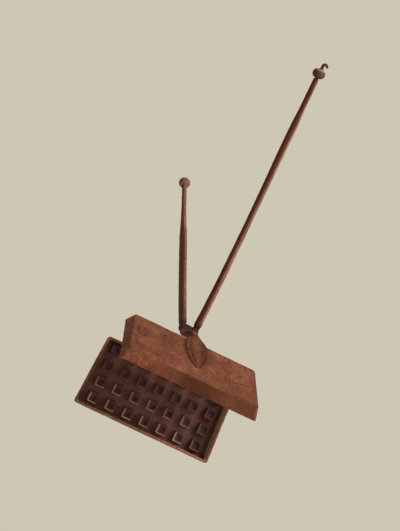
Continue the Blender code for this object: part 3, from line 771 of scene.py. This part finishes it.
def makeForging(name, half, node, seed):
    bm = nodeMesh(node, half)
    tree = BVHTree.FromBMesh(bm)
    edges = edgeTree(bm, arm["sharp"])
    creases = edgeTree(bm, arm["creased"], sign=-1)
    outline = leafOutline(bm)
    plugLeaf(bm, half)
    bm = meltShells(bm, arm["voxel"])
    softenSkin(bm, 2)
    thinLeaf(bm, outline)

    def hingeReach(place):
        return math.hypot(place.y - hingeDepth[half], place.z)

    across = [vert.co.x for vert in bm.verts if vert.co.z > arm["barFrom"]]
    barMiddle = (min(across) + max(across)) / 2
    # the eyes stay smooth, so that the halves swing clear of each other
    roughen(bm, forgedFinish, seed, lambda place: smoothStep(*arm["smoothEye"], hingeReach(place)))
    bm.normal_update()

    turn = halves[half].to_3x3()
    rightwards = turn[0][0]
    marks = {"wear": [], "grime": [], "tone": []}
    for vert in bm.verts:
        place = vert.co
        onLeaf = smoothStep(arm["leafBlend"], -arm["leafBlend"], place.z - arm["leafTop"])
        onNeck = (1 - onLeaf) * smoothStep(*arm["neck"], place.z)
        onBar = 1 - onLeaf - onNeck
        along = -(place.z - arm["leafTop"]) / arm["leafLength"]
        fromRidge = outline.find((place.x, 0, place.z))[2] - arm["teardrop"]

        edge = falloff(edges.find(place)[2], arm["wearReach"])
        # the neck's edges get a painted highlight as well as rubbing
        edge *= max(arm["barWear"] * onBar, arm["neckWearAndHighlight"] * onNeck, 0)
        # painted highlights on the leaf's raised middle and down the neck
        ridge = onLeaf * smoothStep(*arm["ridge"], fromRidge) * smoothStep(*arm["ridgeAlong"], along)
        neckHighlight = onNeck * spot(arm["neckHighlight"], place.x) * smoothStep(*arm["neckHighlightFacing"], vert.normal.y)
        marks["wear"].append(edge + arm["ridgeHighlight"] * ridge + neckHighlight)

        # painted shade down one side of the bars, in the leaf's palette
        fromMiddle = rightwards * (place.x - barMiddle) + ramp(arm["darkTop"][half], place.z)
        dark = onBar * smoothStep(*arm["darkSide"][half], fromMiddle)
        marks["tone"].append(max(onLeaf, dark))
        # painted shade on the leaf: round its raised middle, at its low edge and on its right side; darker
        # along creases
        valleyShade = spot(arm["valleyShade"], fromRidge) * smoothStep(*arm["valleyShadeFacing"], (turn @ vert.normal).x)
        onLeafShade = max(
            valleyShade,
            spot(arm["crease"], creases.find(place)[2]),
            ramp(arm["leafRim"], place.y - arm["leafInner"]),
            ramp(arm["leafShade"], rightwards * place.x),
        )
        # painted shade round the hinge, down the neck and down one side of the bar
        marks["grime"].append(
            max(
                onLeaf * onLeafShade,
                ramp(arm["hingeShade"], hingeReach(place)),
                arm["neckShade"] * onNeck * (1 - neckHighlight),
                arm["darkSideShade"][half] * dark,
            )
        )
    finishPiece(bm, name, half, half + "Arm", [node], marks)
    return tree


rearLeaf = makeForging("hookedArm", "rear", "hooked_arm", 3)
frontLeaf = makeForging("plainArm", "front", "plain_arm", 4)
makePan("rearPan", "rear", "rear_plate", 1, rearLeaf)
makePan("frontPan", "front", "front_plate", 2, frontLeaf)
print("arms and pans made")

# Small pieces, turned on a lathe and hammered
turning = {"steps": 40, "voxel": 0.0005}
knob = {
    "bulge": (0, 0.10, 0.26, 0.42, 0.58, 0.74, 0.88, 0.97, 1),  # how far up each turned point is
    "fullness": 2.3,
    # painted shade on the flanks and at the foot, a painted highlight band near the top, darker at the top
    "flanks": (0.45, 0.95),
    "flankShade": 0.6,
    "bright": (0.80, 0.13, 0.9),
    "foot": (0.2, 0.02, 0.35),
    "top": (0.95, 1, 0.6),
}
rivet = {
    "dome": ((0.0, 1.0), (0.45, 0.92), (0.8, 0.62), (0.97, 0.25), (1.0, 0.0)),  # out, up
    "hingeDome": 0.0010,
    "flushDome": 0.00012,
    "flushRadius": 0.0027,
}
knobFinish = {
    "lumpSize": 0.006, "lump": 0.00022,
    "grainSize": 0.002, "grain": 0.00006,
    "pitSize": 0.004, "pitStart": 0.3, "pit": 0.0004,
}
rivetFinish = {**knobFinish, "lump": 0.00012, "pit": 0.0002}
flushFinish = {**knobFinish, "lump": 0.00003, "grain": 0.00003, "pit": 0.0}


def turned(profile, centre, axis):
    # spins (radius, along) points once round the axis through centre
    along = Vector(axis)
    across = Vector((0, 0, 1)) if axis[0] else Vector((1, 0, 0))
    bm = bmesh.new()
    points = [bm.verts.new(centre + across * radius + along * height) for radius, height in profile]
    edges = [bm.edges.new(pair) for pair in zip(points, points[1:])]
    bmesh.ops.spin(
        bm, geom=points + edges, cent=centre, axis=axis, angle=math.tau,
        steps=turning["steps"], use_merge=True,
    )
    bmesh.ops.remove_doubles(bm, verts=bm.verts, dist=0.00001)
    bmesh.ops.recalc_face_normals(bm, faces=bm.faces)
    return meltShells(bm, turning["voxel"])


def headedProfile(radius, reach, dome):
    # a rivet from one domed head to the other
    end = [(radius * out, reach + dome * up) for out, up in rivet["dome"]]
    return end + [(out, -height) for out, height in reversed(end)]


def makeKnob(name, half, node, seed):
    low, high = nodeBox(node, half)
    centre = Vector(((low.x + high.x) / 2, (low.y + high.y) / 2, 0))
    radius = (high.x - low.x) / 2
    profile = []
    for share in knob["bulge"]:
        narrowing = abs(2 * share - 1) ** knob["fullness"]
        profile.append((radius * max(1 - narrowing, 0) ** 0.5, low.z + (high.z - low.z) * share))
    bm = turned(profile, centre, (0, 0, 1))
    softenSkin(bm, 2)
    roughen(bm, knobFinish, seed)
    bm.normal_update()
    turn = halves[half].to_3x3()
    marks = {"wear": [], "grime": []}
    for vert in bm.verts:
        share = (vert.co.z - low.z) / (high.z - low.z)
        # painted shade on the flanks, and a painted highlight band near the top
        flank = smoothStep(*knob["flanks"], abs((turn @ vert.normal).x))
        marks["wear"].append(spot(knob["bright"], share) * (1 - flank))
        # painted shade at the foot where the bar meets it, and darker at the top
        ends = ramp(knob["foot"], share) + ramp(knob["top"], share)
        marks["grime"].append(max(ends, knob["flankShade"] * flank))
    finishPiece(bm, name, half, name, [node], marks)


def makePivotRivet():
    low, high = nodeBox("pivot_rivet", "rear")
    profile = headedProfile((high.y - low.y) / 2, high.x - rivet["hingeDome"], rivet["hingeDome"])
    bm = turned(profile, Vector((0, hingeSetback, 0)), (1, 0, 0))
    softenSkin(bm, 1)
    roughen(bm, rivetFinish, 7)
    finishPiece(bm, "pivotRivet", "rear", "rivet", ["pivot_rivet"])


def makeLeafRivet(half, node):
    low, high = nodeBox(node, half)
    profile = headedProfile(rivet["flushRadius"], (high.y - low.y) / 2, rivet["flushDome"])
    bm = turned(profile, (low + high) / 2, (0, 1, 0))
    roughen(bm, flushFinish, 8)
    # one end is seen in the pan, the other in the leaf
    marks = {"tone": [float(vert.co.y < arm["leafInner"]) for vert in bm.verts]}
    name = node.replace("leaf_rivet_", "LeafRivet")
    finishPiece(bm, name, half, "flush", [node], marks)


# Hook: a wire that tapers round its bend
hook = {
    "x": 0.0113,
    "y": -0.0080,
    "foot": 0.4426,
    "bendZ": 0.45615,
    "straight": 0.002,   # below the bend, the wire still runs straight
    "radius": 0.0036,
    "wire": (0.0025, 0.0025, 0.0022, 0.0015),
    "drop": 0.0006,
    "steps": 14,
    "voxel": 0.0003,
}
hookFinish = {**knobFinish, "lumpSize": 0.004, "lump": 0.00018, "pit": 0.0002}


def makeHook():
    path = [(hook["x"], hook["foot"]), (hook["x"], hook["bendZ"] - hook["straight"])]
    middle = hook["x"] + hook["radius"]
    for step in range(hook["steps"] + 1):
        angle = math.pi * (1 - step / hook["steps"])
        path.append(
            (middle + hook["radius"] * math.cos(angle), hook["bendZ"] + hook["radius"] * math.sin(angle))
        )
    path.append((middle + hook["radius"], hook["bendZ"] - hook["drop"]))
    wire = bpy.data.curves.new("wire", "CURVE")
    wire.dimensions = "3D"
    wire.bevel_depth = 1
    wire.bevel_resolution = 5
    wire.use_fill_caps = True
    spline = wire.splines.new("POLY")
    spline.points.add(len(path) - 1)
    for index, (x, z) in enumerate(path):
        share = index / (len(path) - 1) * (len(hook["wire"]) - 1)
        low = min(int(share), len(hook["wire"]) - 2)
        thick = hook["wire"][low] + (hook["wire"][low + 1] - hook["wire"][low]) * (share - low)
        spline.points[index].co = (x, hook["y"], z, 1)
        spline.points[index].radius = thick
    holder = bpy.data.objects.new("wire", wire)
    bpy.context.scene.collection.objects.link(holder)
    bm = bmesh.new()
    bm.from_mesh(bpy.data.meshes.new_from_object(holder))
    bpy.data.objects.remove(holder)
    bmesh.ops.remove_doubles(bm, verts=bm.verts, dist=0.00001)
    bmesh.ops.recalc_face_normals(bm, faces=bm.faces)
    bm = meltShells(bm, hook["voxel"])
    softenSkin(bm, 2)
    roughen(bm, hookFinish, 9)
    finishPiece(bm, "wireHook", "rear", "hook", ["hanging_hook"])


makeKnob("hookedKnob", "rear", "hooked_knob", 5)
makeKnob("plainKnob", "front", "plain_knob", 6)
makePivotRivet()
for half, nodes in leafRivets.items():
    for node in nodes:
        makeLeafRivet(half, node)
makeHook()
print("small pieces made")

# Room: a pale floor under the hanging iron, fading into the paper tone
room = {
    "drop": 1.05,
    "radius": 3.0,
    "fade": (0.45, 1.80),       # out from the middle, to the background's tone
    "floor": (214, 208, 190),
    "paper": (205, 199, 180),
    "ambient": 0.36,
    "ambientTint": (1, 0.9, 0.92, 1),
}
lamps = {
    "key": {"from": (0.48, -0.62, 0.62), "size": 0.8, "power": 37},
    "side": {"from": (0.86, -0.46, 0.22), "size": 1.3, "power": 26},
    "back": {"from": (0.10, 0.95, 0.30), "size": 1.3, "power": 24},
}
lampSetting = {"aim": (0, 0, -0.4), "distance": 2.4, "tint": (1.0, 0.97, 0.93)}


def makeFloor():
    bm = bmesh.new()
    bmesh.ops.create_circle(bm, cap_ends=True, radius=room["radius"], segments=96)
    bmesh.ops.translate(bm, vec=(0, 0, -room["drop"]), verts=bm.verts)
    floor = meshObject(bm, "floor")
    material = bpy.data.materials.new("paleFloor")
    material.use_nodes = True
    tree = material.node_tree
    shader = tree.nodes["Principled BSDF"]
    shader.inputs["Base Color"].default_value = shade(*room["floor"])
    shader.inputs["Roughness"].default_value = 1
    shader.inputs["Specular IOR Level"].default_value = 0
    glow = addNode(tree, "ShaderNodeEmission", {"Color": shade(*room["paper"])})
    coords = addNode(tree, "ShaderNodeTexCoord", {}).outputs["Object"]
    flat = addNode(tree, "ShaderNodeVectorMath", {0: coords, 1: (1, 1, 0)}, operation="MULTIPLY")
    away = addNode(tree, "ShaderNodeVectorMath", {0: flat.outputs[0]}, operation="LENGTH").outputs["Value"]
    edge = remap(tree, away, *room["fade"])
    mixed = addNode(tree, "ShaderNodeMixShader", {0: edge, 1: shader.outputs[0], 2: glow.outputs[0]})
    tree.links.new(mixed.outputs[0], tree.nodes["Material Output"].inputs["Surface"])
    floor.data.materials.append(material)


def makeWorld():
    # the camera and reflections see the paper tone, and the iron gets a soft light from all round
    world = bpy.data.worlds.new("room")
    world.use_nodes = True
    tree = world.node_tree
    paths = addNode(tree, "ShaderNodeLightPath", {}).outputs
    seen = doMath(tree, "ADD", paths["Is Camera Ray"], paths["Is Glossy Ray"], clamp=True)
    seen = doMath(tree, "ADD", seen, paths["Is Transmission Ray"], clamp=True)
    paper = tree.nodes["Background"]
    paper.inputs["Color"].default_value = shade(*room["paper"])
    light = {"Color": room["ambientTint"], "Strength": room["ambient"]}
    ambient = addNode(tree, "ShaderNodeBackground", light)
    mixed = addNode(tree, "ShaderNodeMixShader", {0: seen, 1: ambient.outputs[0], 2: paper.outputs[0]})
    tree.links.new(mixed.outputs[0], tree.nodes["World Output"].inputs["Surface"])
    bpy.context.scene.world = world


def makeLamp(name, values):
    lamp = bpy.data.lights.new(name, "AREA")
    lamp.size = values["size"]
    lamp.energy = values["power"]
    lamp.color = lampSetting["tint"]
    holder = bpy.data.objects.new(name, lamp)
    way = Vector(values["from"]).normalized()
    holder.location = Vector(lampSetting["aim"]) + way * lampSetting["distance"]
    holder.rotation_euler = way.to_track_quat("Z", "Y").to_euler()
    bpy.context.scene.collection.objects.link(holder)


view = {
    "place": (-1.518163, -5.799527, -0.610406),
    "right": (0.8717930509, -0.2397842367, 0.4271772404),
    "up": (-0.4236392540, 0.0688357754, 0.9032117241),
    "lens": 264.277,
}


def makeCamera():
    camera = bpy.data.cameras.new("camera")
    camera.lens = view["lens"]
    camera.sensor_width = 36
    camera.clip_end = 50
    holder = bpy.data.objects.new("camera", camera)
    right, up = Vector(view["right"]), Vector(view["up"])
    facing = Matrix((right, up, right.cross(up))).transposed().to_4x4()
    holder.matrix_world = Matrix.Translation(view["place"]) @ facing
    bpy.context.scene.collection.objects.link(holder)
    bpy.context.scene.camera = holder


makeFloor()
makeWorld()
for name, values in lamps.items():
    makeLamp(name, values)
makeCamera()
bpy.context.scene.view_settings.view_transform = "Standard"
print("room, light and camera made")
